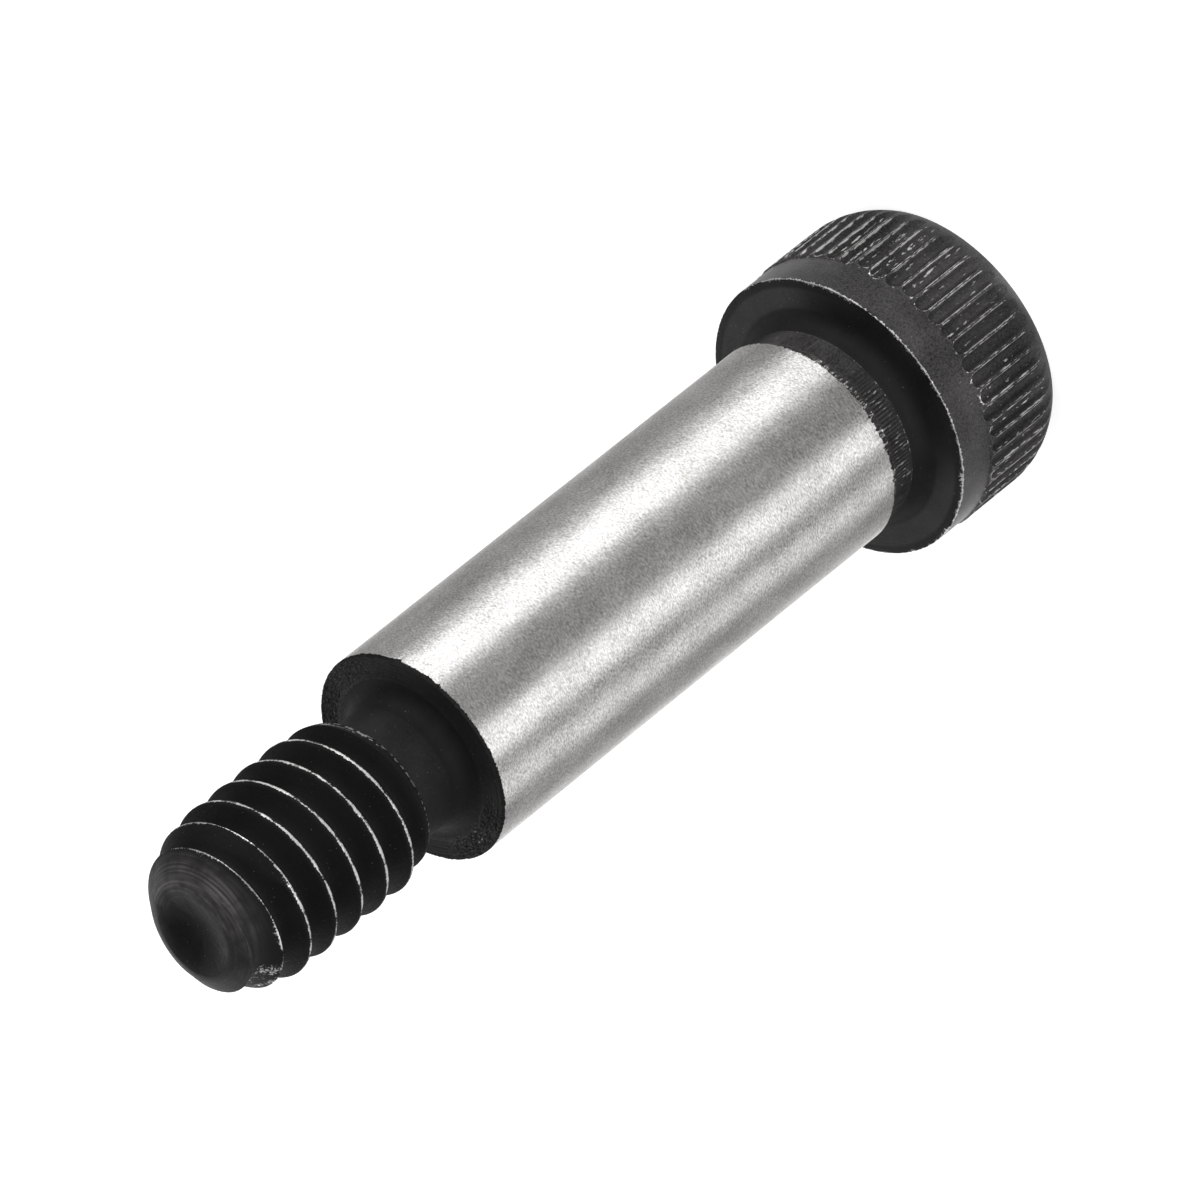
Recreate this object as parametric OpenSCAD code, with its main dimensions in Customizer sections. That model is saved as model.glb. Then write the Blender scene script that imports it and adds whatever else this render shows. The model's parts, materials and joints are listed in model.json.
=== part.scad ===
// Socket head shoulder bolt with a straight knurled head, standing on its head with the thread up.
// The origin is the centre of the head's top face, and +Z runs from the head to the thread.

/* [Shoulder] */
// Diameter of the ground shoulder
shoulder_d = 7.84; // [6.6:0.02:9.2]
// Length from the underside of the head to the end of the shoulder, neck included
shoulder_len = 22.28; // [8:0.02:60]
// Depth of the neck under the head, below the shoulder
head_neck_depth = 0.22; // [0.12:0.01:0.4]
// Length of the neck under the head
head_neck_len = 1.8; // [1:0.02:3]
// Fillet from that neck to the underside of the head
head_fillet_r = 0.6; // [0.2:0.05:0.8]
// Broken edge at each end of the shoulder
shoulder_edge = 0.1; // [0.02:0.01:0.2]

/* [Head] */
// Diameter over the knurl
head_d = 10.8; // [10.2:0.02:14]
// Height of the head
head_h = 5.38; // [4.8:0.02:9]
// Radius of the rounded top edge
head_round_r = 2.4; // [1.6:0.05:3]
// Height over which the top edge is rounded
head_round_h = 1.36; // [0.6:0.02:1.56]
// Height of the plain band below the knurl
band_h = 1.49; // [1:0.01:2]
// How far the plain band lies below the crests of the knurl
band_drop = 0.07; // [0.04:0.01:0.14]
// Width of the bevel round the underside
bevel_w = 0.25; // [0.05:0.01:0.4]
// Height of the bevel round the underside
bevel_h = 0.05; // [0.02:0.01:0.4]

/* [Knurl] */
// Number of grooves round the head
knurl_count = 53; // [40:1:64]
// Depth of a groove below its crests
knurl_depth = 0.22; // [0.16:0.01:0.26]
// Width of the flat that is left on a crest
knurl_land = 0.08; // [0.04:0.01:0.12]
// Angle at which the first groove lies
knurl_turn = 4.3; // [0:0.1:9]

/* [Socket] */
// Width of the hexagon socket across its flats
socket_af = 3.97; // [2.5:0.01:5]
// Depth of the flats below the top of the head
socket_depth = 3.2; // [1.5:0.05:4]
// Depth of the countersink at the socket's mouth, outside its corners
socket_mouth = 0.2; // [0.05:0.01:0.3]
// Angle of the cone that the drill left at the bottom
drill_angle = 120; // [90:1:150]

/* [Thread] */
// Outside diameter of the thread
thread_d = 6.25; // [5.2:0.01:7]
// Pitch of the thread
thread_pitch = 1.27; // [1.05:0.01:1.5]
// Depth of the thread
thread_depth = 0.74; // [0.5:0.01:0.76]
// Width of the crest
crest_w = 0.2; // [0.1:0.01:0.3]
// How far the edges of the crest lie below its middle
crest_drop = 0.03; // [0:0.01:0.05]
// Length from the end of the shoulder to the end of the bolt
thread_len = 11; // [8:0.01:20]
// Length of the neck between the shoulder and the thread
thread_neck_len = 2.33; // [1.4:0.01:3.5]
// How far that neck lies below the root of the thread
thread_neck_relief = 0.03; // [0.03:0.01:0.2]
// Fillet from that neck to the end face of the shoulder
thread_fillet_r = 0.65; // [0.2:0.05:0.8]
// Length over which the last turn runs out at the neck
runout_len = 1.15; // [0.5:0.05:2]
// Height above the root at which the last turn starts beside the neck
runout_step = 0.3; // [0.1:0.01:0.4]
// Angle at which the thread starts beside the neck
thread_turn = 30.5; // [-180:0.1:180]

/* [End] */
// Length of the chamfer at the free end
chamfer_len = 2.4; // [1:0.05:3.2]
// Diameter to which the chamfer tapers at the free end
chamfer_d = 4.6; // [3.9:0.05:5]
// Length over which the chamfer is rounded into the end face
end_round_len = 0.6; // [0.2:0.05:0.8]
// Diameter of the flat end face
end_d = 3.2; // [2.9:0.05:3.7]
// Diameter of the hollow in the end face
dish_d = 2.7; // [1.5:0.05:2.8]
// Depth of the hollow in the end face
dish_depth = 0.36; // [0.1:0.01:0.6]

/* [Hidden] */
$fn = 96;

// Length by which a cut or a core passes the face that it meets
over = 0.3;

// Radii
shoulder_r = shoulder_d / 2;
head_r = head_d / 2;
head_neck_r = shoulder_r - head_neck_depth;
band_r = head_r - band_drop;
thread_r = thread_d / 2;
root_r = thread_r - thread_depth;
thread_neck_r = root_r - thread_neck_relief;

// Heights above the top of the head, which is the face that the bolt stands on
seat_z = head_h;
shoulder_z = seat_z + head_neck_len;
face_z = seat_z + shoulder_len;
thread_z = face_z + thread_neck_len;
end_z = face_z + thread_len;

// Knurl: each groove is round, and as wide as its share of the girth less the crest's flat
groove_w = 2 * head_r * sin(180 / knurl_count) - knurl_land;
groove_r = (groove_w * groove_w / 4 + knurl_depth * knurl_depth) / (2 * knurl_depth);
groove_at = head_r - knurl_depth + groove_r;
groove_z = seat_z - band_h;

// Thread: its surface is a ribbon one pitch wide, wound from the neck to the free end
sides = 48;
thread_run = end_z - thread_z;
wound_columns = round(sides * thread_run / thread_pitch);
ribbon_w = thread_run * sides / wound_columns;
columns = wound_columns + sides;
flank_w = (thread_depth - crest_drop) * tan(30);
root_w = thread_pitch - crest_w - 2 * flank_w;
// Places across the ribbon, as shares of the pitch from the middle of one root to the next
root_share = root_w / 2 / thread_pitch;
crest_share = crest_w / 2 / thread_pitch;
stations = [0, root_share, 0.5 - crest_share, 0.5, 0.5 + crest_share, 1 - root_share];
rows = len(stations);
// How gently the ribbon levels out at each end
level = 0.06;
start_r = root_r + runout_step;
end_r = end_d / 2;

// A length that never falls below zero, and is x itself well above it
function floored(x) = (x + sqrt(x * x + 4 * level * level)) / 2;

// Height of a place on the ribbon, levelled at the neck and at the free end
function levelled(z) = end_z - floored(end_z - thread_z - floored(z - thread_z));
function ribbon_z(column, row) =
    row == 0 && column < sides ? thread_z
    : levelled(thread_z + ribbon_w * (column / sides - 1 + stations[row]));

// Radius of the endless thread: a rounded crest with flanks at 60 degrees, and a flat root
function phase(z, angle) =
    let (turns = (z - thread_z) / thread_pitch - angle / 360)
    turns - floor(turns);
function helix_r(z, angle) =
    let (
        off = abs(phase(z, angle) - 0.5) * thread_pitch,
        past = max(0, off - crest_w / 2),
        crown = crest_drop * pow(min(1, 2 * off / crest_w), 2)
    )
    thread_r - min(thread_depth, crown + past / tan(30));

// Radii to which the run-out beside the neck and the chamfer at the end hold the thread
function runout_r(z) =
    start_r + (thread_r - start_r) * sqrt(min(1, max(0, z - thread_z) / runout_len));
function chamfer_r(z) =
    let (
        up = end_z - z,
        cone_r = (chamfer_d + (thread_d - chamfer_d) * up / chamfer_len) / 2,
        share = min(1, up / end_round_len)
    )
    end_r + (cone_r - end_r) * sqrt(1 - pow(1 - share, 2));
function surface_at(z, angle) =
    let (r = min(helix_r(z, angle), runout_r(z), chamfer_r(z)))
    [r * cos(angle), r * sin(angle), z];

// Ribbon's points, column by column, then the ring round its upper end
function column_angle(column) = 360 * (column % sides) / sides;
thread_points = concat(
    [for (c = [0 : columns - 1], s = [0 : rows - 1])
        surface_at(ribbon_z(c, s), column_angle(c))],
    [for (c = [columns - sides : columns - 1])
        surface_at(end_z, column_angle(c))]
);

// Number of the point at a column and a row, where the row past the last is the next turn's first
function ring_point(column) = columns * rows + column - (columns - sides);
function point(column, row) =
    row < rows ? column * rows + row
    : column + sides < columns ? (column + sides) * rows
    : ring_point(column);

thread_faces = concat(
    [for (c = [0 : columns - 2], s = [0 : rows - 1], half = [0, 1])
        half == 0
        ? [point(c, s), point(c, s + 1), point(c + 1, s + 1)]
        : [point(c, s), point(c + 1, s + 1), point(c + 1, s)]],
    [for (s = [0 : rows - 1])
        [point(sides - 1, 0), point(0, s + 1), point(0, s)]],
    [for (s = [0 : rows - 1])
        [ring_point(columns - sides), point(columns - 1, s), point(columns - 1, s + 1)]],
    [[for (c = [0 : sides - 1]) point(c, 0)]],
    [[for (c = [columns - 1 : -1 : columns - sides]) ring_point(c)]]
);

// Outline

// Rectangle from the axis out to a radius, between two heights
module band(r, z0, z1) {
    translate([0, z0]) square([r, z1 - z0]);
}

// Fillet that widens a stem of radius r down to the face at height z
module flare(r, fillet, z) {
    difference() {
        band(r + fillet, z, z + fillet);
        translate([r + fillet, z + fillet]) circle(r = fillet);
    }
}

module head_outline() {
    intersection() {
        band(head_r, 0, head_round_h);
        union() {
            band(head_r - head_round_r, 0, head_round_h);
            translate([head_r - head_round_r, head_round_h]) circle(r = head_round_r);
        }
    }
    band(head_r, head_round_h, groove_z - band_drop);
    polygon([
        [0, groove_z - band_drop],
        [head_r, groove_z - band_drop],
        [band_r, groove_z],
        [band_r, seat_z - bevel_h],
        [band_r - bevel_w, seat_z],
        [0, seat_z]
    ]);
}

module shoulder_outline() {
    flare(head_neck_r, head_fillet_r, seat_z);
    band(head_neck_r, seat_z - over, shoulder_z + over);
    polygon([
        [0, shoulder_z],
        [shoulder_r - shoulder_edge, shoulder_z],
        [shoulder_r, shoulder_z + shoulder_edge],
        [shoulder_r, face_z - shoulder_edge],
        [shoulder_r - shoulder_edge, face_z],
        [0, face_z]
    ]);
    flare(thread_neck_r, thread_fillet_r, face_z);
    band(thread_neck_r, face_z - over, thread_z + over);
}

// Solids

module turned_blank() {
    rotate_extrude() {
        head_outline();
        shoulder_outline();
    }
}

// One round-ended groove of the knurl, which runs out over the rounded top edge
module knurl_groove() {
    translate([groove_at, 0, 0])
        rotate_extrude($fn = 32) {
            intersection() {
                translate([0, groove_z - groove_r]) circle(r = groove_r);
                band(groove_r, groove_z - groove_r, groove_z);
            }
            band(groove_r, -over, groove_z - groove_r);
        }
}

module knurl() {
    for (i = [0 : knurl_count - 1])
        rotate([0, 0, knurl_turn + 360 * i / knurl_count]) knurl_groove();
}

// Hexagon socket with a countersunk mouth and a drilled bottom
module socket() {
    corner_r = socket_af / 2 / cos(30);
    mouth_r = corner_r + socket_mouth;
    drill_h = socket_af / 2 / tan(drill_angle / 2);
    translate([0, 0, -over]) cylinder(r = corner_r, h = socket_depth + over, $fn = 6);
    translate([0, 0, -over]) cylinder(r1 = mouth_r + over, r2 = 0, h = mouth_r + over);
    translate([0, 0, socket_depth]) cylinder(r1 = socket_af / 2, r2 = 0, h = drill_h);
}

module thread() {
    rotate([0, 0, thread_turn])
        polyhedron(points = thread_points, faces = thread_faces, convexity = 10);
}

// Hollow in the free end, part of a sphere
module dish() {
    sphere_r = (dish_d * dish_d / 4 + dish_depth * dish_depth) / (2 * dish_depth);
    translate([0, 0, end_z - dish_depth + sphere_r]) sphere(r = sphere_r);
}

module shoulder_bolt() {
    color([0.24, 0.24, 0.25])
        difference() {
            union() {
                turned_blank();
                thread();
            }
            knurl();
            socket();
            dish();
        }
}

shoulder_bolt();
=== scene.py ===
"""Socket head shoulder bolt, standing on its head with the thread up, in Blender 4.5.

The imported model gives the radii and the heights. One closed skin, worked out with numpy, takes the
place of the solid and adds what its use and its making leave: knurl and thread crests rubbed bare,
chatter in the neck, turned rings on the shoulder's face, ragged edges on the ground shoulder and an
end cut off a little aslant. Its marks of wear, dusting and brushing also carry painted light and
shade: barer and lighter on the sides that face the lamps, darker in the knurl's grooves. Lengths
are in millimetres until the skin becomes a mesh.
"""

import json
import math

import bpy
import numpy as np
from mathutils import Matrix, Vector


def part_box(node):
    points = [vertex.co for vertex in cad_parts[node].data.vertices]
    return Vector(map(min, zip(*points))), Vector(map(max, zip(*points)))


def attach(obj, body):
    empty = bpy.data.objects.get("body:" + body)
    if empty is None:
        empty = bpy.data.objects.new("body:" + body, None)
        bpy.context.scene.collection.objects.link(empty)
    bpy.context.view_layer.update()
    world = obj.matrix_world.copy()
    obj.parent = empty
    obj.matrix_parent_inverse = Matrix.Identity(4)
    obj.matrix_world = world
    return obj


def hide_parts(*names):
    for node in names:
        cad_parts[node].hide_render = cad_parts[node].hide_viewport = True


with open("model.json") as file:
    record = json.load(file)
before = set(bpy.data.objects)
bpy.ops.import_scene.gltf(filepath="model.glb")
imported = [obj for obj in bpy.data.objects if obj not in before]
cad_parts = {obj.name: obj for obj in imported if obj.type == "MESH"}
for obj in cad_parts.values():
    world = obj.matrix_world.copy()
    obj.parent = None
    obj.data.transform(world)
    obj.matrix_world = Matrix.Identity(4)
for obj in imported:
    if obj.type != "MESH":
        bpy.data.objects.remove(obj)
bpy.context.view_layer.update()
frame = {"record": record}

MM = 0.001
TURN = 2 * np.pi
NODE = "shoulder_bolt"
BLACK, GROUND = 0, 1

# Sizes that the frame gives
mounts = {mount["name"]: mount for mount in frame["record"]["mounts"]}
low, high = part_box(NODE)
head_r = (high.y - low.y) / 2 / MM
end_z = high.z / MM
shoulder_r = mounts["shoulder"]["dims"]["r_mm"]
thread_r = mounts["thread"]["dims"]["r_mm"]
thread_z = end_z - mounts["thread"]["dims"]["length_mm"]
seat_z = mounts["head_seat"]["pos_m"][2] / MM
face_z = mounts["shoulder_face"]["pos_m"][2] / MM
socket_depth = mounts["hex_socket"]["dims"]["length_mm"]

# Head
round_r = 2.4
round_h = 1.36
band_h = 1.49
band_drop = 0.07
bevel_w = 0.25
bevel_h = 0.05
band_r = head_r - band_drop
groove_top = seat_z - band_h

# Knurl, with how far the grooves' ends and depths stray
knurl_count = 53
knurl_depth = 0.22
knurl_land = 0.08
knurl_turn = math.radians(4.3)
groove_w = 2 * head_r * math.sin(math.pi / knurl_count) - knurl_land
groove_r = (groove_w ** 2 / 4 + knurl_depth ** 2) / (2 * knurl_depth)
groove_at = head_r - knurl_depth + groove_r
groove_end_stray = 0.06
groove_depth_stray = 0.01

# Socket
socket_af = 3.97
socket_mouth = 0.2
socket_corner_r = socket_af / 2 / math.cos(math.pi / 6)
mouth_r = socket_corner_r + socket_mouth
drill_angle = math.radians(120)
drill_r = socket_af / 2 - 0.04
drill_tip_r = 0.2

# Necks and shoulder
head_neck_r = shoulder_r - 0.22
head_neck_len = 1.8
head_fillet_r = 0.6
shoulder_z = seat_z + head_neck_len
thread_fillet_r = 0.65

# Thread
thread_pitch = 1.27
thread_depth = 0.74
crest_w = 0.2
crest_drop = 0.03
flank_angle = math.pi / 6
flank_w = (thread_depth - crest_drop) * math.tan(flank_angle)
root_r = thread_r - thread_depth
thread_neck_r = root_r - 0.03
thread_turn = math.radians(30.5)
root_hollow = 0.05
runout_len = 1.15
runout_step = 0.3

# End
chamfer_len = 2.4
chamfer_r = 2.3
end_round_len = 0.6
end_r = 1.6
end_slant = 0.085
end_slant_len = 1.4
taper_lean = 0.14
dish_r = 1.62
dish_depth = 0.36

# Columns round each stretch of the skin
SOCKET_COLUMNS = 360
STEM_COLUMNS = 656
THREAD_COLUMNS = 240
END_COLUMNS = 120

# Rows of the thread's ribbon that lie on the lower edge of the taper's cut and along the crest
CUT_ROW, CREST_ROW = 6, 8

# Dust on the bevel, on the head's underside and its fillet, and on the shoulder
FILM_DUST = 0.1


# Numbers

def blend(low_edge, high_edge, value):
    """0 below the low edge, 1 above the high one, and a smooth S between them."""
    share = np.clip((value - low_edge) / (high_edge - low_edge), 0, 1)
    return share * share * (3 - 2 * share)


def ripple(angle, waves, seed):
    """Sum of cosines round the axis with whole numbers of waves, each with a seeded weight and
    phase, scaled to a spread of about 1."""
    draw = np.random.default_rng(seed)
    count = np.arange(*waves)
    phase = draw.uniform(0, TURN, count.size)
    weight = draw.normal(size=count.size)
    total = (weight * np.cos(np.asarray(angle)[..., None] * count + phase)).sum(-1)
    return total / math.sqrt((weight ** 2).sum() / 2)


def facing(angle, degrees):
    """Cosine of the angle between a place round the axis and a direction, which is given from the
    bolt's front at -Y toward +X."""
    return np.cos(angle + math.pi / 2 - math.radians(degrees))


def root_between(inside, start, stop):
    """Place where a test turns from True at start to False at stop, by halving the span."""
    for _ in range(30):
        middle = (start + stop) / 2
        held = inside(middle)
        start = np.where(held, middle, start)
        stop = np.where(held, stop, middle)
    return (start + stop) / 2


def steps(start, stop, shares):
    """Rows that lie at given shares of the way from start to stop, both arrays over the columns."""
    shares = np.asarray(shares, float)[:, None]
    return start + (stop - start) * shares


def around(columns):
    """Equal angles round the axis."""
    return np.arange(columns) * TURN / columns


# Skin

class Skin:
    """Closed skin made of rings, each joined to the ring before it, from the bottom of the
    socket, out over the head, and up the bolt to the middle of its free end."""

    def __init__(self):
        self.points = []
        self.worn = []
        self.dust = []
        self.brushed = []
        self.quads = []
        self.quad_finish = []
        self.triangles = []
        self.triangle_finish = []
        self.count = 0
        self.edge = None
        self.edge_angle = None

    def add_points(self, angle, radius, height, worn=0.0, dust=0.0, brushed=0.0):
        """Points at radius and angle about Z, with their marks of wear, dusting and brushing, which
        also carry painted light and shade; returns their numbers, shaped as the arrays."""
        angle, radius, height, worn, dust, brushed = np.broadcast_arrays(
            angle, radius, height, worn, dust, brushed)
        place = np.stack([radius * np.cos(angle), radius * np.sin(angle), height], -1)
        numbers = self.count + np.arange(angle.size).reshape(angle.shape)
        self.points.append(place.reshape(-1, 3))
        self.worn.append(worn.reshape(-1))
        self.dust.append(dust.reshape(-1))
        self.brushed.append(brushed.reshape(-1))
        self.count += angle.size
        return numbers

    def add_quads(self, a, b, c, d, finish):
        quads = np.stack([a, b, c, d], -1).reshape(-1, 4)
        self.quads.append(quads)
        self.quad_finish.append(np.full(len(quads), finish))

    def add_triangles(self, a, b, c, finish):
        triangles = np.stack(np.broadcast_arrays(a, b, c), -1).reshape(-1, 3)
        self.triangles.append(triangles)
        self.triangle_finish.append(np.full(len(triangles), finish))

    def join_rows(self, lower, upper, finish):
        """Quads between rows of equal length that close round the axis."""
        self.add_quads(lower, np.roll(lower, -1, -1), np.roll(upper, -1, -1), upper, finish)

    def zip_rings(self, lower, lower_angle, upper, upper_angle, finish):
        """Triangles between rings with different columns. Going round, whichever ring's next point
        comes first moves on, and its edge takes the other ring's current point as its apex."""
        lower_next = np.append(lower_angle[1:], lower_angle[0] + TURN)
        upper_next = np.append(upper_angle[1:], upper_angle[0] + TURN)
        upper_now = np.searchsorted(upper_next, lower_next, "left") % len(upper)
        lower_now = np.searchsorted(lower_next, upper_next, "right") % len(lower)
        self.add_triangles(lower, np.roll(lower, -1), upper[upper_now], finish)
        self.add_triangles(lower[lower_now], np.roll(upper, -1), upper, finish)

    def start_at_axis(self, height, angle, radius, ring_height):
        """Fan from a point on the axis to the first ring."""
        apex = self.add_points(np.zeros(1), 0.0, height)
        ring = self.add_points(angle, radius, ring_height)
        self.add_triangles(apex, np.roll(ring, -1), ring, BLACK)
        self.edge, self.edge_angle = ring, angle

    def end_at_axis(self, height, dust):
        """Fan from the last ring to a point on the axis."""
        apex = self.add_points(np.zeros(1), 0.0, height, dust=dust)
        self.add_triangles(self.edge, np.roll(self.edge, -1), apex, BLACK)

    def band(self, angle, radius, height, worn=0.0, dust=0.0, brushed=0.0, finish=BLACK):
        """Rows of rings, the first of them joined to the last ring so far."""
        rows = self.add_points(angle[None, :], radius, height, worn, dust, brushed)
        if len(angle) == len(self.edge_angle) and np.allclose(angle, self.edge_angle):
            self.join_rows(self.edge, rows[0], finish)
        else:
            self.zip_rings(self.edge, self.edge_angle, rows[0], angle, finish)
        if len(rows) > 1:
            self.join_rows(rows[:-1], rows[1:], finish)
        self.edge, self.edge_angle = rows[-1], angle

    def mesh(self, name):
        """The mesh in metres, with each face's finish and each point's marks of wear, dusting and
        brushing, which also carry painted light and shade. Edges sharper than the shade angle stay
        sharp."""
        shade_angle = math.radians(38)
        faces = np.concatenate(self.quads).tolist() + np.concatenate(self.triangles).tolist()
        finish = np.concatenate(self.quad_finish + self.triangle_finish)
        data = bpy.data.meshes.new(name)
        data.from_pydata((np.concatenate(self.points) * MM).tolist(), [], faces)
        data.polygons.foreach_set("material_index", finish.astype(np.int32))
        for mark, values in (("worn", self.worn), ("dust", self.dust), ("brushed", self.brushed)):
            attribute = data.attributes.new(mark, "FLOAT", "POINT")
            attribute.data.foreach_set("value", np.concatenate(values).astype(np.float32))
        data.polygons.foreach_set("use_smooth", np.ones(len(faces), bool))
        data.set_sharp_from_angle(angle=shade_angle)
        data.update()
        return data


# Socket and head

def add_socket(skin):
    """Drilled cone, hexagon wall and countersunk mouth. The hexagon's radius is half the width
    across its flats over the cosine of the angle from the nearest flat's middle."""
    angle = around(SOCKET_COLUMNS)
    flat_angle = np.mod(angle, math.pi / 3) - math.pi / 6
    hexagon = socket_af / 2 / np.cos(flat_angle)
    slope = math.tan(drill_angle / 2)
    skin.start_at_axis(socket_depth + drill_r / slope, angle, drill_tip_r,
                       socket_depth + (drill_r - drill_tip_r) / slope)
    cone_r = steps(np.full_like(angle, drill_tip_r), np.full_like(angle, drill_r), [0.4, 1])
    skin.band(angle, cone_r, socket_depth + (drill_r - cone_r) / slope)
    wall = steps(np.full_like(angle, socket_depth), mouth_r - hexagon, [0, 0.5, 1])
    skin.band(angle, hexagon, wall)
    skin.band(angle, mouth_r, 0.0)


def head_columns():
    """Angles of the head's columns: the same shares of each knurl tooth, closer at its crest."""
    half = np.array([0.06, 0.075, 0.11, 0.17, 0.26, 0.37])
    share = np.concatenate([[0], half, [0.5], 1 - half[::-1]])
    tooth = np.arange(knurl_count)[:, None]
    angle = (tooth + 0.5 + share) * TURN / knurl_count + knurl_turn
    return np.sort(np.mod(angle.ravel(), TURN))


def plain_head_r(z):
    """Head's outline without its knurl: an arc, the crests' height, a small cone and the band."""
    arc = head_r - round_r + np.sqrt(round_r ** 2 - np.clip(round_h - z, 0, round_r) ** 2)
    return np.minimum(arc, np.clip(head_r - (z - groove_top + band_drop), band_r, head_r))


def add_knurl(skin):
    """Rounded top edge and knurl. A groove is a round rod laid against the head, with a ball at
    its end; the head keeps the smaller of that radius and its own. Each column has rows just where
    the groove runs in and out, so that both edges are crisp. Returns the columns' angles and the
    heights where the plain band starts."""
    angle = head_columns()
    pitch = TURN / knurl_count
    tooth = np.floor((angle - knurl_turn) / pitch + 0.5).astype(int) % knurl_count
    off = np.mod(angle - knurl_turn + pitch / 2, pitch) - pitch / 2
    draw = np.random.default_rng(7)
    ball_z = (groove_top - groove_r + draw.normal(0, groove_end_stray, knurl_count))[tooth]
    rod_at = (groove_at + draw.normal(0, groove_depth_stray, knurl_count))[tooth]
    across = rod_at * np.sin(off)

    def grooved_r(z):
        room = groove_r ** 2 - across ** 2 - np.clip(z - ball_z, 0, None) ** 2
        return np.where(room > 0, rod_at * np.cos(off) - np.sqrt(np.maximum(room, 0)), 2 * head_r)

    def in_groove(z):
        return grooved_r(z) < plain_head_r(z)

    shortest_ball, gap, crest_wave = 0.06, 0.01, 0.006
    out_z = root_between(in_groove, np.full_like(angle, round_h), np.zeros_like(angle))
    in_z = root_between(in_groove, ball_z, ball_z + 2 * groove_r)
    in_z = np.maximum(in_z, ball_z + shortest_ball)

    start_arc = math.asin(round_h / round_r)
    out_arc = np.arcsin((round_h - out_z) / round_r)
    arc = steps(np.full_like(angle, start_arc), out_arc, np.linspace(0, 1, 8))
    step_z = np.maximum(groove_top - band_drop, in_z + gap)
    band_z = np.maximum(groove_top, in_z + 2 * gap)
    z = np.concatenate([
        round_h - round_r * np.sin(arc),
        steps(out_z, ball_z, [0.15, 0.5, 0.85, 1]),
        steps(ball_z, in_z, np.sin(np.pi / 2 * np.array([0.2, 0.4, 0.58, 0.74, 0.88, 1]))),
        step_z[None, :],
        band_z[None, :],
    ])
    r = np.minimum(plain_head_r(z), grooved_r(z))
    crest = ripple(angle, (20, 160), 11) * crest_wave * blend(1.0, 2.0, z)
    r = r - np.where(r > head_r - 0.03, np.abs(crest), 0)

    # Bare lines lie along both sides of a groove and round its end, and scores beside its middle;
    # the side lines are also painted highlights, brighter on one side of each groove and toward the
    # front
    lit = np.where(off > 0, draw.uniform(0.8, 1.3, knurl_count)[tooth],
                   draw.uniform(0.45, 1.15, knurl_count)[tooth])
    hooked = draw.uniform(0.3, 0.95, knurl_count)[tooth]
    side_line_w, end_line_w = 0.028, 0.05
    from_side = np.abs(groove_w / 2 - np.abs(across))
    side_line = np.clip(1 - from_side / side_line_w, 0, 1) * lit * (z < ball_z + 0.01)
    side_line = side_line * (0.74 + 0.26 * blend(-0.1, 0.75, facing(angle, 0)))
    end_line = np.clip(1 - np.abs(z - in_z) / end_line_w, 0, 1) * hooked
    end_line = end_line * (np.abs(across) < groove_w / 2)
    draw = np.random.default_rng(8)
    scored = draw.uniform(-0.3, 0.48, len(angle)) + draw.uniform(-0.2, 0.2, z.shape)
    beside = (np.abs(across) > 0.05) & (np.abs(across) < 0.18)
    scored = scored * beside * (grooved_r(z) < plain_head_r(z) - 0.03)
    worn = np.maximum(np.maximum(side_line, end_line), scored) * blend(0.4, 1.3, z)

    # Painted shade: groove floors a little darker than the crests, and painted shadow lines along
    # both sides of a groove's floor, darker on one side
    shade_at, shade_w = 0.19, 0.04
    raised = blend(head_r - knurl_depth, head_r - 0.04, r + np.maximum(0, head_r - plain_head_r(z)))
    shaded = np.exp(-((np.abs(across) - shade_at) / shade_w) ** 2) * (r < plain_head_r(z) - 0.02)
    dust = 0.82 + 0.18 * raised - shaded * np.where(across < 0, 0.75, 0.4)
    skin.band(angle, r, z, worn, dust)
    return angle, band_z


def add_head_band(skin, angle, start_z):
    """Plain band and bevel of the head, with the rim between them uneven and rubbed bare, barer
    toward -25 degrees as a painted highlight.
    """
    shares = np.array([0.05, 0.3, 0.65, 0.93, 0.97, 1])
    worn = np.array([0, 0, 0, 0, 0.62, 1.0])[:, None]
    dust = np.array([1, 1, 1, 1, 0.6, 0])[:, None]
    # Painted highlight: the rim is barer, so brighter, on the side toward -25 degrees.
    rim_bare_and_lit = 0.72 + 0.26 * facing(angle, -25)
    rim_wave = 0.005
    rim = np.abs(ripple(angle, (10, 220), 12) * rim_wave)
    r = band_r - (shares == 1)[:, None] * rim
    z = steps(start_z, np.full_like(angle, seat_z - bevel_h), shares)
    skin.band(angle, r, z, worn * rim_bare_and_lit, dust)
    bevel = np.array([0.15, 1])[:, None]
    worn = np.array([0.65, 0.0])[:, None]
    skin.band(angle, band_r - bevel_w * bevel, seat_z - bevel_h * (1 - bevel), worn * rim_bare_and_lit,
              FILM_DUST)


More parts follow.
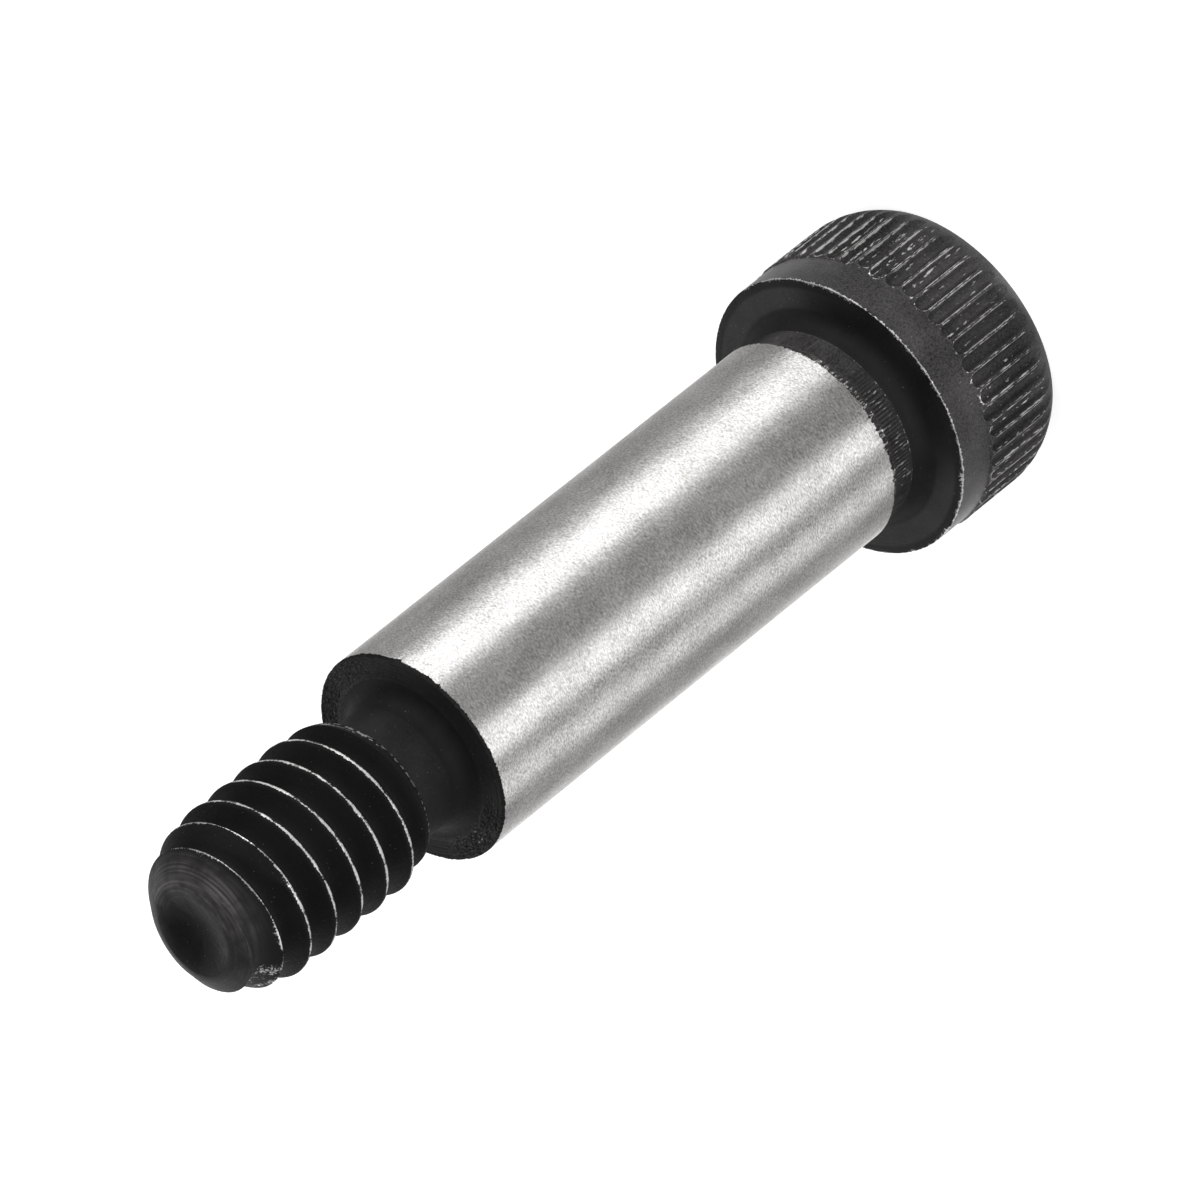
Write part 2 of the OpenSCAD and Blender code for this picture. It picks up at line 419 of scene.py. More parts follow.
def add_head_neck(skin):
    """Underside, fillet and neck below the shoulder. The fillet is a quarter circle; the neck's
    middle carries the axial marks of a chattering tool between two thin turned lines. Painted
    light: the underside is lighter away from the front, and the neck's marks, lines and tone are
    barer and lighter on the sides that face the lamps."""
    angle = around(STEM_COLUMNS)
    outer_r = band_r - bevel_w - 0.12
    under_r = np.linspace(outer_r, head_neck_r + head_fillet_r, 4)[:, None]
    # Painted light: the underside's film is lighter on the sides away from the front.
    sideways_lit = 1 - blend(0.4, 0.9, facing(angle, 0))
    skin.band(angle, under_r, seat_z, dust=FILM_DUST + 0.25 * sideways_lit)
    turn = np.radians(np.linspace(12, 90, 7))[:, None]
    fillet_r = head_neck_r + head_fillet_r * (1 - np.sin(turn))
    skin.band(angle, fillet_r, seat_z + head_fillet_r * (1 - np.cos(turn)), dust=FILM_DUST)

    chatter_count = 164
    chatter_depth = 0.024
    chatter_drop = 0.012
    wave = np.cos(angle * chatter_count + 1.2 * ripple(angle, (3, 30), 21))
    chatter = wave * chatter_depth * blend(-0.6, 0.6, ripple(angle, (4, 40), 22))
    marks = [
        # height over the head's seat, depth, share of the chatter
        (0.62, 0.018, 0.0), (0.66, 0.0, 0.2), (0.74, 0.004, 0.7), (1.0, 0.006, 1.0),
        (1.38, 0.004, 1.0), (1.46, 0.0, 0.3), (1.5, 0.02, 0.0), (1.54, 0.0, 0.0),
        (1.7, 0.0, 0.0), (1.8, 0.012, 0.0),
    ]
    height, depth, share = np.array(marks).T[..., None]
    # Painted light: the chatter marks and turned lines are bare, and the neck's film lighter, only
    # on the sides that face the lamps, toward -28, -10, -24 and 41 degrees.
    struck_and_lit = share * (0.16 + 0.1 * wave) * blend(0.6, 0.95, facing(angle, -28))
    line = 0.4 * (share == 0) * blend(0.2, 0.8, facing(angle, -10))
    ribbed_and_lit = 0.42 * share * wave * blend(0.7, 0.97, facing(angle, -24))
    dust = 0.45 + 0.55 * blend(0.8, 1.0, facing(angle, 41)) + ribbed_and_lit
    skin.band(angle, head_neck_r - depth - share * (chatter_drop + chatter), seat_z + height,
              struck_and_lit + line, dust)


def add_shoulder(skin):
    """Ground shoulder. The grinding stops at ragged lines where the turned edges begin, and one
    ding bites into the rim at the thread's side."""
    angle = around(STEM_COLUMNS)
    neck_corner, head_break, face_break, corner = 0.04, 0.03, 0.06, 0.015
    ragged = np.abs(ripple(angle, (6, 230), 31))
    head_edge = 0.01 + 0.04 * ragged
    start = shoulder_z + head_break + head_edge
    skin.band(angle, head_neck_r + neck_corner, shoulder_z, dust=FILM_DUST)
    skin.band(angle, shoulder_r - head_break - 0.3 * head_edge, shoulder_z + corner,
              dust=FILM_DUST)
    skin.band(angle, shoulder_r, start, dust=FILM_DUST)

    ding_angle, ding_w = math.radians(-65), 2.6
    ragged = np.abs(ripple(angle, (6, 230), 32))
    from_ding = np.degrees(np.angle(np.exp(1j * (angle - ding_angle))))
    ding = np.exp(-(from_ding / ding_w) ** 2)
    face_edge = 0.015 + 0.035 * ragged + 0.05 * ding
    face_edge = face_edge + 0.07 * blend(1.3, 2.2, ripple(angle, (5, 60), 33))
    stop = face_z - face_break - face_edge
    rows = steps(start, stop, [0.02, 0.25, 0.5, 0.75, 0.98, 1])
    skin.band(angle, shoulder_r, rows, dust=FILM_DUST, finish=GROUND)
    skin.band(angle, shoulder_r - face_break - 0.5 * face_edge, face_z - corner, dust=FILM_DUST)


def add_face(skin):
    """End face of the shoulder with the rings and torn patches that the turning tool left, the
    fillet, and the smooth neck of the thread. Painted light: the torn patches are barer and
    lighter on the sides away from the front."""
    angle = around(STEM_COLUMNS)
    inner_r = thread_neck_r + thread_fillet_r
    outer_r = shoulder_r - 0.13
    ring_r = np.linspace(outer_r, inner_r + 0.02, 24)[:, None]
    ring_pitch, ring_depth, face_drop, torn_depth = 0.13, 0.008, 0.02, 0.0065
    sway = 0.25 * ripple(angle, (1, 7), 42)
    groove = ring_depth * np.cos(ring_r * TURN / ring_pitch + sway)
    groove = groove + 0.004 * np.cos(ring_r * 21 + 2 * sway)
    patch = 0.1 + 0.9 * blend(-0.2, 1.2, ripple(angle, (2, 14), 41))
    sideways_lit = 1 - blend(0.4, 0.85, facing(angle, 0))
    torn = np.random.default_rng(43).normal(0, 1, (len(ring_r), len(angle)))
    torn = (torn + np.roll(torn, 1, 1) + np.roll(torn, 2, 1)) * torn_depth
    torn = torn * (0.15 + 0.85 * sideways_lit) * blend(-1.5, 0.6, ripple(angle, (1, 9), 44))
    depth = np.minimum(0, groove * patch - face_drop + torn)
    depth = depth * blend(inner_r, inner_r + 0.25, ring_r)
    # Painted light: the torn patches are barer and lighter on the sides away from the front.
    worn = 0.34 * sideways_lit * (torn > 0.018)
    dust = np.clip(0.15 + 14 * torn * sideways_lit, 0.0, 0.34)
    skin.band(angle, ring_r, face_z + depth, worn, dust)

    angle = around(THREAD_COLUMNS)
    neck_dust = 0.06
    turn = np.radians(np.linspace(0, 90, 9))[:, None]
    fillet_r = thread_neck_r + thread_fillet_r * (1 - np.sin(turn))
    grain = np.random.default_rng(45).normal(0, 0.003, (len(turn), len(angle)))
    skin.band(angle, fillet_r + grain, face_z + thread_fillet_r * (1 - np.cos(turn)),
              dust=neck_dust)
    neck_z = np.linspace(face_z + thread_fillet_r + 0.1, thread_z, 5)[:, None]
    lit = blend(0.2, 1.0, facing(angle, 10))
    skin.band(angle, thread_neck_r, neck_z, dust=neck_dust + 0.12 * lit)


# Thread

def ridge(z, angle):
    """Radius of the endless thread. The height over the pitch, less the turns round the axis, gives
    the place across the ridge: a rounded crest in the middle, then flanks at 60 degrees to each
    other, then the hollow root."""
    turns = (z - thread_z) / thread_pitch - (angle - thread_turn) / TURN
    off = np.abs(np.mod(turns, 1) - 0.5) * thread_pitch
    past = np.maximum(0, off - crest_w / 2)
    crown = crest_drop * np.minimum(1, 2 * off / crest_w) ** 2
    flank = crown + past / math.tan(flank_angle)
    half_root = thread_pitch / 2 - crest_w / 2 - flank_w
    from_root = np.minimum(1, (thread_pitch / 2 - off) / half_root)
    return thread_r - np.minimum(thread_depth + root_hollow * (1 - from_root ** 2), flank)


def point_cap(z, angle):
    """Radius to which the taper at the free end holds the thread, rounded into the end face. The
    taper leans a little, so it cuts less on the side away from +X. The thread itself fades out
    before the end, where the taper meets its root."""
    up = end_z - z
    along = up + taper_lean * (1 - np.cos(angle))
    cone_r = chamfer_r + (thread_r - chamfer_r) * along / chamfer_len
    cone_r = np.minimum(cone_r, root_r + thread_depth * blend(0.45, 1.5, along))
    share = np.clip(up / end_round_len, 0, 1)
    power = 1.6
    return end_r + (cone_r - end_r) * (1 - (1 - share) ** power) ** (1 / power)


def runout_cap(z):
    """Radius to which the run-out beside the neck holds the thread."""
    start_r = root_r + runout_step
    share = np.clip((z - thread_z) / runout_len, 0, 1)
    return start_r + (thread_r - start_r) * np.sqrt(share)


def slanted(radius, angle, z):
    """Height at a place where the end is cut off a little aslant: it drops with the distance
    across the bolt, more the nearer the place is to the end."""
    share = blend(end_z - end_slant_len, end_z, z)
    return z - share * end_slant * np.maximum(0, radius * np.cos(angle) + end_r)


def thread_ribbon():
    """Angles and heights of the points of a ribbon one pitch wide, wound from the neck to the free
    end. Its rows keep their place across the ridge, but where the taper cuts the crest they gather
    at the cut's edges; at both ends the ribbon levels out into a flat ring."""
    columns = THREAD_COLUMNS
    run = end_z - thread_z
    wound = round(columns * run / thread_pitch)
    width = run * columns / wound
    column = np.arange(wound + columns)
    angle = np.mod(column, columns) * TURN / columns + thread_turn
    level = 0.05

    def floored(x):
        """Stays above 0: about x where x is large, and bending smoothly to 0 where it isn't."""
        return (x + np.sqrt(x * x + 4 * level * level)) / 2

    def height(place):
        z = thread_z + width * (column / columns - 1 + place)
        return end_z - floored(end_z - thread_z - floored(z - thread_z))

    def is_cut(place):
        z = height(place)
        return ridge(z, angle) > point_cap(z, angle)

    # Places across the ribbon, as shares of the pitch from the middle of one root to the next
    middle = np.full(len(column), 0.5)
    half_crest = crest_w / 2 / thread_pitch
    foot = half_crest + flank_w / thread_pitch
    spare = 0.02
    low_edge = np.clip(root_between(is_cut, middle, middle - foot),
                       0.5 - foot + spare, 0.5 - half_crest)
    high_edge = np.clip(root_between(is_cut, middle, middle + foot),
                        0.5 + half_crest, 0.5 + foot - spare)
    inset = np.minimum(0.35 * (middle - low_edge), 0.06 / thread_pitch)
    rows = [0 * middle, (middle - foot) / 2, middle - foot]
    rows += [0.5 - foot + (low_edge - 0.5 + foot) * share for share in (0.35, 0.68, 0.91)]
    rows += [low_edge, low_edge + inset, middle, (middle + high_edge) / 2, high_edge]
    rows += [high_edge + (0.5 + foot - high_edge) * share for share in (0.12, 0.35, 0.65, 1)]
    rows += [0.75 + foot / 2 + 0 * middle]
    z = np.stack([height(place) for place in rows], 1)
    z[:columns, 0] = thread_z + 0.04 * np.abs(ripple(angle[:columns], (8, 90), 46))
    return angle[:, None], z


def thread_wear(angle, z, cut, moved):
    """How far the ribbon is rubbed bare, partly as painted highlights. The crest shines along its
    middle, or along the lower edge of the cut where the shine has moved there, less where the
    thread starts and ends and a little less away from the front. Two dotted rings shine where it
    starts, stronger on the sides that face the lamps, and the end is painted bare on the side
    away from +X. These facing-based shares are painted highlights."""
    worn = np.zeros_like(z)
    worn[:, CREST_ROW] = 1 - moved
    worn[:, CREST_ROW - 1] = 0.68 - 0.28 * blend(0.04, 0.15, cut)
    worn[:, CREST_ROW + 1] = 0.45 * (1 - moved)
    worn[:, CUT_ROW] = moved
    worn[:, CUT_ROW - 1] = 0.5 * moved
    crest_z = z[:, CREST_ROW]
    fade = 0.15 * blend(0.15, 0.35, cut) + 0.85 * blend(end_z - 0.55, end_z - 0.25, crest_z)
    started = blend(0.25, 0.12, thread_r - runout_cap(crest_z))
    worn *= ((1 - fade) * started)[:, None]
    # Painted highlight: the crest is barer toward the front.
    worn *= 0.8 + 0.2 * blend(0.1, 0.85, facing(angle, 0))

    # Painted highlight: the rings' strengths are higher on the sides that face the lamps.
    rings = (
        # seed, height over the thread's start, half the width, strength
        (47, 0.03, 0.14, 0.5 + 0.5 * blend(0.1, 0.8, facing(angle, -20))),
        (49, 0.2, 0.09, 0.85 * blend(0.78, 0.93, facing(angle, 40))),
    )
    for seed, place, half, strength in rings:
        dotted = blend(-1.0, 0.4, ripple(angle, (30, 115), seed)) * strength
        across = np.clip(1.6 - 1.6 * np.abs(z - thread_z - place) / half, 0, 1)
        worn = np.maximum(worn, dotted * across)

    # Painted highlight: the end is bare on the side away from +X.
    up = end_z - z
    end_side_lit = blend(0.8, 1.0, facing(angle, -90)) * blend(1.9, 1.2, up) * blend(0.4, 0.8, up)
    return np.maximum(worn, 0.66 * end_side_lit)


def add_thread(skin):
    """Thread as a wound ribbon. Its radius is the least of the ridge's, the run-out's and the
    taper's; past the lower edge of the taper's cut the skin leans in further, down to the nose."""
    columns = THREAD_COLUMNS
    angle, z = thread_ribbon()
    cap = point_cap(z, angle)
    cut = np.maximum(0, ridge(z, angle) - cap)[:, CREST_ROW]
    moved = blend(0.0, 0.06, cut)
    start_edge = 0.02 * ripple(angle, (8, 90), 48) * np.clip(1 - (z - thread_z) / 0.1, 0, 1)
    r = np.minimum(np.minimum(ridge(z, angle), runout_cap(z) + start_edge), cap)
    past_edge = np.maximum(0, z - z[:, CUT_ROW:CUT_ROW + 1])
    lean = (0.7 * past_edge + 0.4 * past_edge ** 2) * moved[:, None]
    nose_r = end_r + (root_r - end_r) * blend(-0.35, 1.0, end_z - z)
    leaning = np.maximum(cap[:, CUT_ROW:CUT_ROW + 1] - lean, np.minimum(nose_r, cap))
    past_cut = slice(CUT_ROW + 1, None)
    r[:, past_cut] = np.where(moved[:, None] > 0, np.minimum(r, leaning), r)[:, past_cut]

    end_dust = 0.2
    # Painted sheen: the light strokes near the end are strongest on the side toward 50 degrees.
    sheen_side = 0.25 + 0.75 * blend(-0.3, 0.9, facing(angle, 50))
    points = skin.add_points(
        angle, r, slanted(r, angle, z), thread_wear(angle, z, cut, moved),
        end_dust * blend(end_z - 1.4, end_z - 0.2, z), sheen_side * blend(1.1, 0.3, end_z - z))
    end_angle = angle[-columns:, 0]
    end_ring = skin.add_points(end_angle, end_r, slanted(end_r, end_angle, end_z),
                               dust=end_dust, brushed=sheen_side[-columns:, 0])

    # The row past the last is the first row of the turn above, and of the end ring on the last turn
    above = np.concatenate([points[columns:, 0], end_ring])
    grid = np.concatenate([points, above[:, None]], 1)
    a, b = grid[:-1], grid[1:]
    skin.add_quads(a[:, :-1], b[:, :-1], b[:, 1:], a[:, 1:], BLACK)
    skin.add_triangles(grid[columns - 1, 0], grid[0, :-1], grid[0, 1:], BLACK)
    skin.add_triangles(end_ring[0], grid[-1, 1:], grid[-1, :-1], BLACK)

    # Joins, with each ring rolled so that its angles rise from zero
    start_ring = points[:columns, 0]
    start_angle = np.mod(angle[:columns, 0], TURN)
    order = np.argsort(start_angle)
    skin.zip_rings(skin.edge, skin.edge_angle, start_ring[order], start_angle[order], BLACK)
    end_angle = np.mod(end_angle, TURN)
    order = np.argsort(end_angle)
    skin.edge, skin.edge_angle = end_ring[order], end_angle[order]


def add_end(skin):
    """Hollow in the free end: half a wave of a cosine deep, with faint rings, and rough as a
    cut-off blank leaves it. Light strokes near its rim, stronger toward 40 degrees, are a painted
    sheen."""
    angle = around(END_COLUMNS)
    share = np.linspace(0.975, 0.06, 16)[:, None]
    rough = np.random.default_rng(51).normal(0, 1, (len(share), len(angle)))
    rough = rough + np.roll(rough, 1, 1) + np.roll(rough, -1, 1)
    rough = rough + np.roll(rough, 1, 0)
    rings = np.cos(share * 52 + 2 * ripple(angle, (1, 6), 53)) * blend(0.3, 0.7, share)
    rough_depth, ring_depth, wave_depth = 0.0012, 0.004, 0.006
    uneven = rough_depth * rough + ring_depth * rings + wave_depth * ripple(angle, (2, 9), 52)
    inside = blend(1.0, 0.85, share) * blend(0.05, 0.6, share)
    depth = dish_depth * (0.5 + 0.5 * np.cos(math.pi * share ** 1.15)) + inside * uneven
    r = dish_r * share
    dish_dust = 0.12
    # Painted sheen: light strokes near the rim, stronger toward 40 degrees.
    brushed = blend(0.6, 1.0, share) * (0.5 + 0.5 * facing(angle, 40))
    skin.band(angle, r, slanted(r, angle, end_z) - depth, dust=dish_dust, brushed=brushed)
    skin.end_at_axis(end_z - end_slant * end_r - dish_depth, dish_dust)


def make_bolt():
    """The bolt's skin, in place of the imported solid."""
    skin = Skin()
    add_socket(skin)
    angle, band_z = add_knurl(skin)
    add_head_band(skin, angle, band_z)
    add_head_neck(skin)
    add_shoulder(skin)
    add_face(skin)
    add_thread(skin)
    add_end(skin)
    piece = bpy.data.objects.new("bolt_skin", skin.mesh("bolt_skin"))
    bpy.context.scene.collection.objects.link(piece)
    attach(piece, "root")
    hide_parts(NODE)
    return piece


# Materials

class Paint:
    """Node tree of one material, with short calls for the nodes that it uses."""

    def __init__(self, name):
        self.material = bpy.data.materials.new(name)
        self.material.use_nodes = True
        self.tree = self.material.node_tree
        self.shader = self.tree.nodes["Principled BSDF"]
        self.place = self.node("ShaderNodeTexCoord").outputs["Object"]

    def node(self, kind, **settings):
        made = self.tree.nodes.new(kind)
        for name, value in settings.items():
            setattr(made, name, value)
        return made

    def feed(self, socket, value):
        """Sets a socket, or links it where the value is another socket."""
        if isinstance(value, bpy.types.NodeSocket):
            self.tree.links.new(value, socket)
        else:
            socket.default_value = value

    def mark(self, name):
        """One of the marks that the skin's points carry."""
        return self.node("ShaderNodeAttribute", attribute_name=name).outputs["Fac"]

    def math(self, operation, *values):
        made = self.node("ShaderNodeMath", operation=operation)
        for socket, value in zip(made.inputs, values):
            self.feed(socket, value)
        return made.outputs[0]

    def field(self, place, scale, shift, detail, roughness):
        """Noise from 0 to 1 at a place that is scaled and shifted."""
        mapping = self.node("ShaderNodeMapping")
        self.feed(mapping.inputs["Vector"], place)
        mapping.inputs["Scale"].default_value = scale
        mapping.inputs["Location"].default_value = shift
        made = self.node("ShaderNodeTexNoise")
        self.feed(made.inputs["Vector"], mapping.outputs[0])
        made.inputs["Scale"].default_value = 1.0
        made.inputs["Detail"].default_value = detail
        made.inputs["Roughness"].default_value = roughness
        return made.outputs["Fac"]

    def noise(self, size, seed, stretch=(1, 1, 1), detail=3.0):
        """Noise whose grains are about size millimetres, made longer by stretch."""
        scale = [1 / (size * MM * longer) for longer in stretch]
        return self.field(self.place, scale, (seed, seed * 1.7, seed * 0.6), detail, 0.55)

    def turned(self, size, seed):
        """Noise that hardly changes round the axis: rings on a face and lines round a stem."""
        sway = 0.03
        flat = self.node("ShaderNodeVectorMath", operation="MULTIPLY")
        self.feed(flat.inputs[0], self.place)
        flat.inputs[1].default_value = (1, 1, 0)
        radius = self.node("ShaderNodeVectorMath", operation="LENGTH")
        self.feed(radius.inputs[0], flat.outputs[0])
        parts = self.node("ShaderNodeSeparateXYZ")
        self.feed(parts.inputs[0], self.place)
        joined = self.node("ShaderNodeCombineXYZ")
        self.feed(joined.inputs["X"], radius.outputs["Value"])
        self.feed(joined.inputs["Y"], parts.outputs["Z"])
        self.feed(joined.inputs["Z"], self.math("MULTIPLY", parts.outputs["X"], sway))
        scale = [1 / (size * MM)] * 3
        return self.field(joined.outputs[0], scale, (seed, seed * 1.3, seed * 0.7), 2.0, 0.5)

    def ramp(self, value, low_edge, high_edge, low_value=0.0, high_value=1.0):
        """Value carried smoothly from one span to another, and held at its ends."""
        made = self.node("ShaderNodeMapRange", interpolation_type="SMOOTHSTEP")
        for socket, number in zip(made.inputs, (value, low_edge, high_edge, low_value, high_value)):
            self.feed(socket, number)
        return made.outputs[0]

    def mix(self, share, first, second):
        """Number between two others."""
        made = self.node("ShaderNodeMix", data_type="FLOAT")
        for place, number in ((0, share), (2, first), (3, second)):
            self.feed(made.inputs[place], number)
        return made.outputs[0]

    def tint(self, share, first, second):
        """Colour between two others."""
        made = self.node("ShaderNodeMix", data_type="RGBA")
        self.feed(made.inputs["Factor"], share)
        for name, colour in (("A", first), ("B", second)):
            socket = next(s for s in made.inputs if s.name == name and s.type == "RGBA")
            self.feed(socket, colour)
        return next(s for s in made.outputs if s.type == "RGBA")

    def bump(self, height, distance, normal=None):
        """Normal of a surface raised by height times a distance in millimetres."""
        made = self.node("ShaderNodeBump")
        self.feed(made.inputs["Height"], height)
        made.inputs["Distance"].default_value = distance * MM
        made.inputs["Strength"].default_value = 1.0
        if normal is not None:
            self.feed(made.inputs["Normal"], normal)
        return made.outputs[0]


def grey(level, red=0.0, blue=0.0):
    """Grey with a share more of red and of blue."""
    return (level * (1 + red), level, level * (1 + blue), 1.0)


def bare_share(paint, dust, patchy, slow, fine):
    """How bare the steel is: how far the wear, which also carries painted highlights, passes a
    limit.
    Under a dusty film the limit varies in short chips and thin scratches along the axis, and
    elsewhere in longer stretches. A few specks are half bare anywhere."""
    broken = paint.noise(0.15, 9, stretch=(1, 1, 2.5))
    scratched = paint.noise(0.05, 17, stretch=(1, 1, 5), detail=1)
    chipped = paint.math("ADD", paint.ramp(broken, 0.3, 0.7, 0.25, 0.8),
                         paint.ramp(scratched, 0.3, 0.7, 0.26, -0.28))
    rolled = paint.math("ADD", paint.ramp(slow, 0.3, 0.7, 0.4, 0.86),
                        paint.ramp(fine, 0.3, 0.7, 0.2, -0.2))
    edges = paint.mix(paint.ramp(dust, 0.05, 0.35), rolled, chipped)
    limit = paint.math("ADD", edges, paint.ramp(patchy, 0.35, 0.65, 0.06, -0.06))
    rubbed = paint.ramp(paint.math("SUBTRACT", paint.mark("worn"), limit), -0.06, 0.3)
    speck = paint.ramp(paint.noise(0.06, 13, detail=1), 0.77, 0.82)
    return paint.math("MAXIMUM", rubbed, paint.math("MULTIPLY", speck, 0.3))


def black_oxide():
    """Dark oxide film over steel: satin, mottled, marked by the lathe, and rubbed bare on crests.
    The skin's marks of dusting and brushing lighten it, partly as painted light and shade, and the
    light strokes round the end are a painted sheen."""
    paint = Paint("black_oxide")
    dust = paint.mark("dust")
    patchy = paint.noise(2.5, 3, detail=4)
    slow = paint.noise(0.7, 15, detail=2)
    fine = paint.noise(0.07, 5, detail=2)
    rubbed = bare_share(paint, dust, patchy, slow, fine)

    dark = paint.tint(paint.ramp(patchy, 0.3, 0.7),
                      grey(0.003, 0.06, 0.03), grey(0.006, 0.06, 0.03))
    mottle = paint.math("ADD", paint.ramp(fine, 0.25, 0.75, 0, 0.6),
                        paint.ramp(patchy, 0.35, 0.65, 0, 0.4))
    # Dusty tone, also painted light and shade: the skin's dusting mark is raised on sides that face
    # the lamps and lowered in the knurl's painted groove shade.
    dusty = paint.tint(mottle, grey(0.01, 0.05, 0.02), grey(0.082, 0.05, 0.02))
    strokes = paint.math("MULTIPLY", paint.ramp(paint.turned(0.1, 31), 0.3, 0.8, 0.2, 1.0),
                         paint.ramp(slow, 0.3, 0.65, 0.3, 1.0))
    # Painted sheen: lighter strokes where the skin's brushing mark is high, round the end and on the
    # thread's side toward 50 degrees.
    film = paint.tint(paint.math("MULTIPLY", strokes, paint.mark("brushed")),
                      paint.tint(dust, dark, dusty), grey(0.12, 0.06, 0.03))
    rough = paint.mix(dust, paint.ramp(fine, 0.2, 0.8, 0.66, 0.86),
                      paint.ramp(fine, 0.2, 0.8, 0.26, 0.4))
    bare, bare_rough = grey(0.62, 0.01, -0.01), 0.4
    paint.feed(paint.shader.inputs["Base Color"], paint.tint(rubbed, film, bare))
    paint.feed(paint.shader.inputs["Metallic"], rubbed)
    paint.feed(paint.shader.inputs["Roughness"], paint.mix(rubbed, rough, bare_rough))
    paint.shader.inputs["Specular IOR Level"].default_value = 0.15
    grain = paint.bump(fine, 0.012)
    lathe_marks = paint.bump(paint.turned(0.035, 2), 0.006, normal=grain)
    paint.feed(paint.shader.inputs["Normal"], lathe_marks)
    return paint.material


def ground_steel():
    """Bare ground steel. Fine scratches run round the axis, so its gloss spreads along the axis."""
    paint = Paint("ground_steel")
    along = paint.node("ShaderNodeCombineXYZ")
    along.inputs["Z"].default_value = 1.0
    paint.feed(paint.shader.inputs["Tangent"], along.outputs[0])
    streak = paint.noise(0.034, 21, stretch=(2.8, 2.8, 1), detail=1)
    cloud = paint.noise(0.9, 23, stretch=(1, 1, 2))
    shade = paint.math("ADD", paint.ramp(streak, 0.25, 0.75, 0.0, 0.8),
                       paint.ramp(cloud, 0.3, 0.7, 0.0, 0.2))
    paint.feed(paint.shader.inputs["Base Color"],
               paint.tint(shade, grey(0.25, 0.02, -0.01), grey(0.8, 0.02, -0.01)))
    paint.shader.inputs["Metallic"].default_value = 1.0
    paint.feed(paint.shader.inputs["Roughness"], paint.ramp(streak, 0.2, 0.8, 0.4, 0.48))
    paint.shader.inputs["Anisotropic"].default_value = 0.95
    paint.feed(paint.shader.inputs["Normal"], paint.bump(streak, 0.006))
    return paint.material


# Stage

def make_floor():
    """Pale floor. It shows white to the camera. Reflections see it too, with a painted glow that is
    brighter behind the bolt and under the key panel than elsewhere, for reflections only: the
    cosines of the angles from those two directions, as seen from just in front of the bolt, set how
    bright."""
    size = 3.0
    back_azimuth = math.radians(97)
    key_azimuth = math.radians(-32)
    in_front = Vector((0, 0.006, 0))
    data = bpy.data.meshes.new("floor")
    corner = [(-size, -size, 0), (size, -size, 0), (size, size, 0), (-size, size, 0)]
    data.from_pydata(corner, [], [(0, 1, 2, 3)])
    floor = bpy.data.objects.new("floor", data)
    bpy.context.scene.collection.objects.link(floor)
    paint = Paint("pale_floor")
    paint.shader.inputs["Base Color"].default_value = grey(0.8)
    paint.shader.inputs["Roughness"].default_value = 0.9
    paint.shader.inputs["Specular IOR Level"].default_value = 0.0
    paint.shader.inputs["Emission Color"].default_value = grey(1.0)
    shifted = paint.node("ShaderNodeVectorMath", operation="ADD")
    paint.feed(shifted.inputs[0], paint.place)
    shifted.inputs[1].default_value = in_front
    direction = paint.node("ShaderNodeVectorMath", operation="NORMALIZE")
    paint.feed(direction.inputs[0], shifted.outputs[0])

    def toward(azimuth):
        made = paint.node("ShaderNodeVectorMath", operation="DOT_PRODUCT")
        paint.feed(made.inputs[0], direction.outputs[0])
        made.inputs[1].default_value = (math.cos(azimuth), math.sin(azimuth), 0)
        return made.outputs["Value"]

    # Painted light: a glow on the floor that only reflections see, behind the bolt and under the key
    # panel.
    painted_glow = paint.math("ADD", paint.ramp(toward(back_azimuth), 0.66, 0.97, 0.2, 1.1),
                           paint.ramp(toward(key_azimuth), 0.9, 1.0, 0.0, 0.7))
    path = paint.node("ShaderNodeLightPath")
    mirrored = paint.math("MAXIMUM", path.outputs["Is Glossy Ray"],
                          path.outputs["Is Transmission Ray"])
    seen = paint.math("MULTIPLY", path.outputs["Is Camera Ray"], 0.7)
    paint.feed(paint.shader.inputs["Emission Strength"],
               paint.math("MULTIPLY_ADD", mirrored, painted_glow, seen))
    data.materials.append(paint.material)


def make_world():
    """Dim studio above the floor."""
    world = bpy.data.worlds.new("studio")
    bpy.context.scene.world = world
    world.use_nodes = True
    world.node_tree.nodes["Background"].inputs["Color"].default_value = grey(0.05)


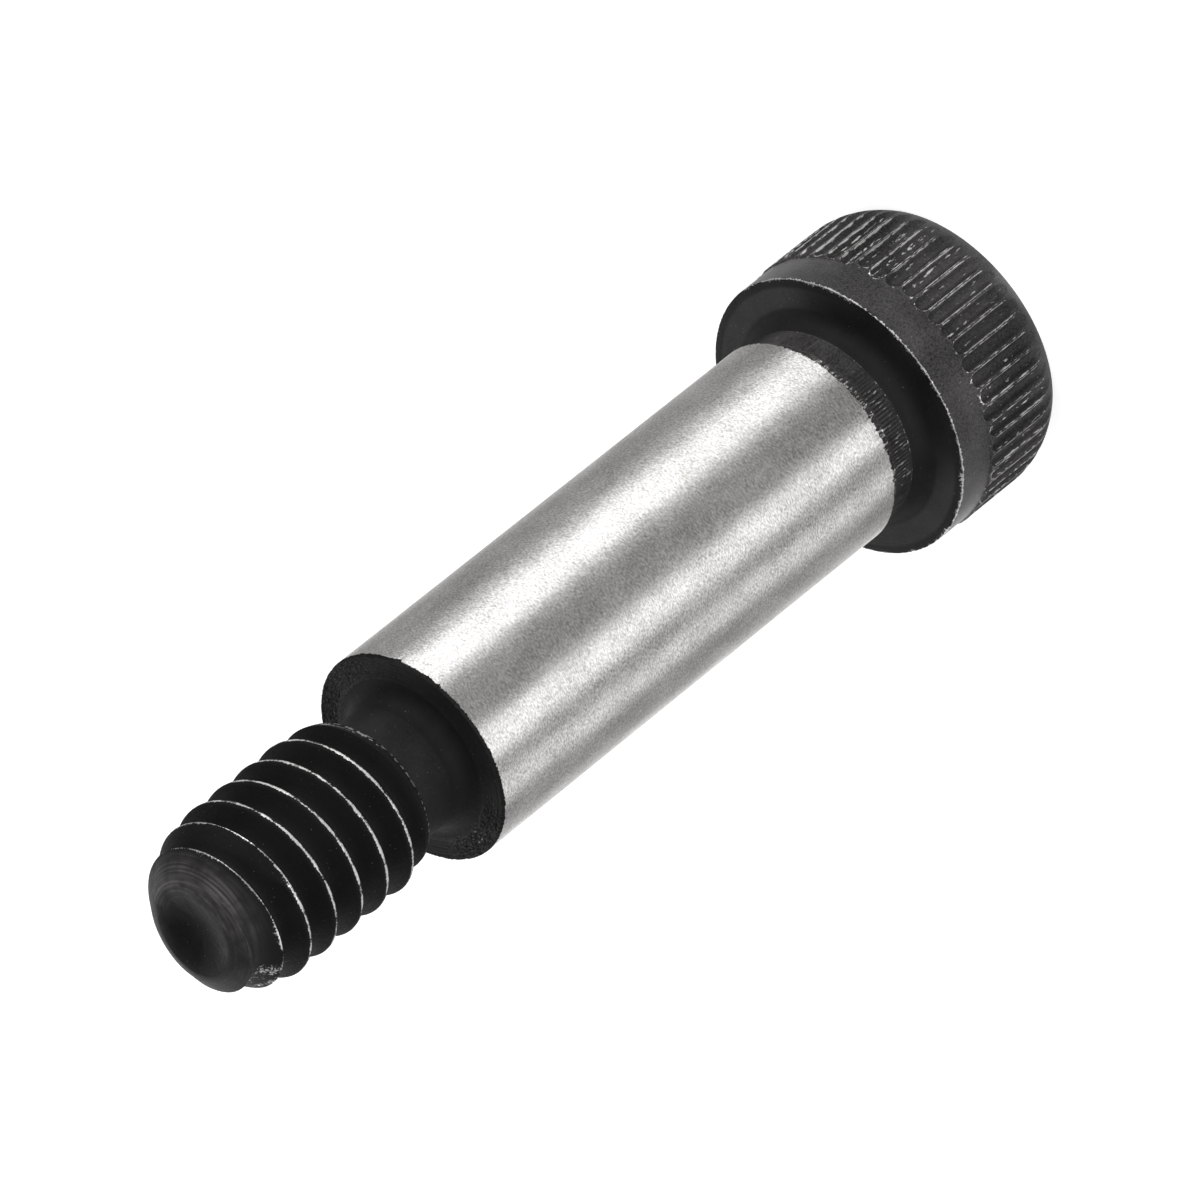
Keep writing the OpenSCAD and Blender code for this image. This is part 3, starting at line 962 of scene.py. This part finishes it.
def softbox(name, azimuth, wide, radiance):
    """Upright panel that faces the bolt, in metres. Its width and edges are angles seen from the
    bolt, and its power is pi times its area and its radiance."""
    away, bolt_middle = 0.28, 0.02
    low_edge, high_edge = math.radians(-3), math.radians(36)
    base = math.tan(low_edge) * away
    top = math.tan(high_edge) * away
    lamp = bpy.data.lights.new(name, "AREA")
    lamp.shape = "RECTANGLE"
    lamp.size = 2 * away * math.tan(math.radians(wide) / 2)
    lamp.size_y = top - base
    lamp.energy = math.pi * radiance * lamp.size * lamp.size_y
    holder = bpy.data.objects.new(name, lamp)
    bpy.context.scene.collection.objects.link(holder)
    turn = math.radians(azimuth)
    centre_z = bolt_middle + (base + top) / 2
    holder.location = (away * math.cos(turn), away * math.sin(turn), centre_z)
    toward = Vector((-math.cos(turn), -math.sin(turn), 0))
    holder.rotation_euler = toward.to_track_quat("-Z", "Y").to_euler()
    holder.visible_camera = False


def make_lights():
    softbox("key_panel", -35, 34, 5.9)
    softbox("key_side", -11, 14, 1.7)
    softbox("left_panel", -122, 27, 5.7)
    softbox("edge_panel", -167, 21, 3.6)
    softbox("back_panel", 94, 70, 2.8)


def make_camera():
    """Camera at the photograph's angle: a long lens, turned about its own axis until the bolt lies
    from the lower left, thread first, to the upper right."""
    aim = Vector((0.19, 0, 17.77)) * MM
    distance = 413.98 * MM
    azimuth, elevation, roll = math.radians(-90), math.radians(35.607), math.radians(128.623)
    data = bpy.data.cameras.new("camera")
    data.sensor_width = 36.0
    data.lens = 375.8
    data.clip_end = 20.0
    camera = bpy.data.objects.new("camera", data)
    bpy.context.scene.collection.objects.link(camera)
    back = Vector((math.cos(elevation) * math.cos(azimuth), math.cos(elevation) * math.sin(azimuth),
                   math.sin(elevation)))
    right = Vector((0, 0, 1)).cross(back).normalized()
    up = back.cross(right)
    turned_up = up * math.cos(roll) + right * math.sin(roll)
    turned_right = turned_up.cross(back)
    pose = Matrix((turned_right, turned_up, back)).transposed().to_4x4()
    pose.translation = aim + back * distance
    camera.matrix_world = pose
    bpy.context.scene.camera = camera


bolt = make_bolt()
bolt.data.materials.append(black_oxide())
bolt.data.materials.append(ground_steel())
make_floor()
make_world()
make_lights()
make_camera()
bpy.context.scene.view_settings.view_transform = "Standard"
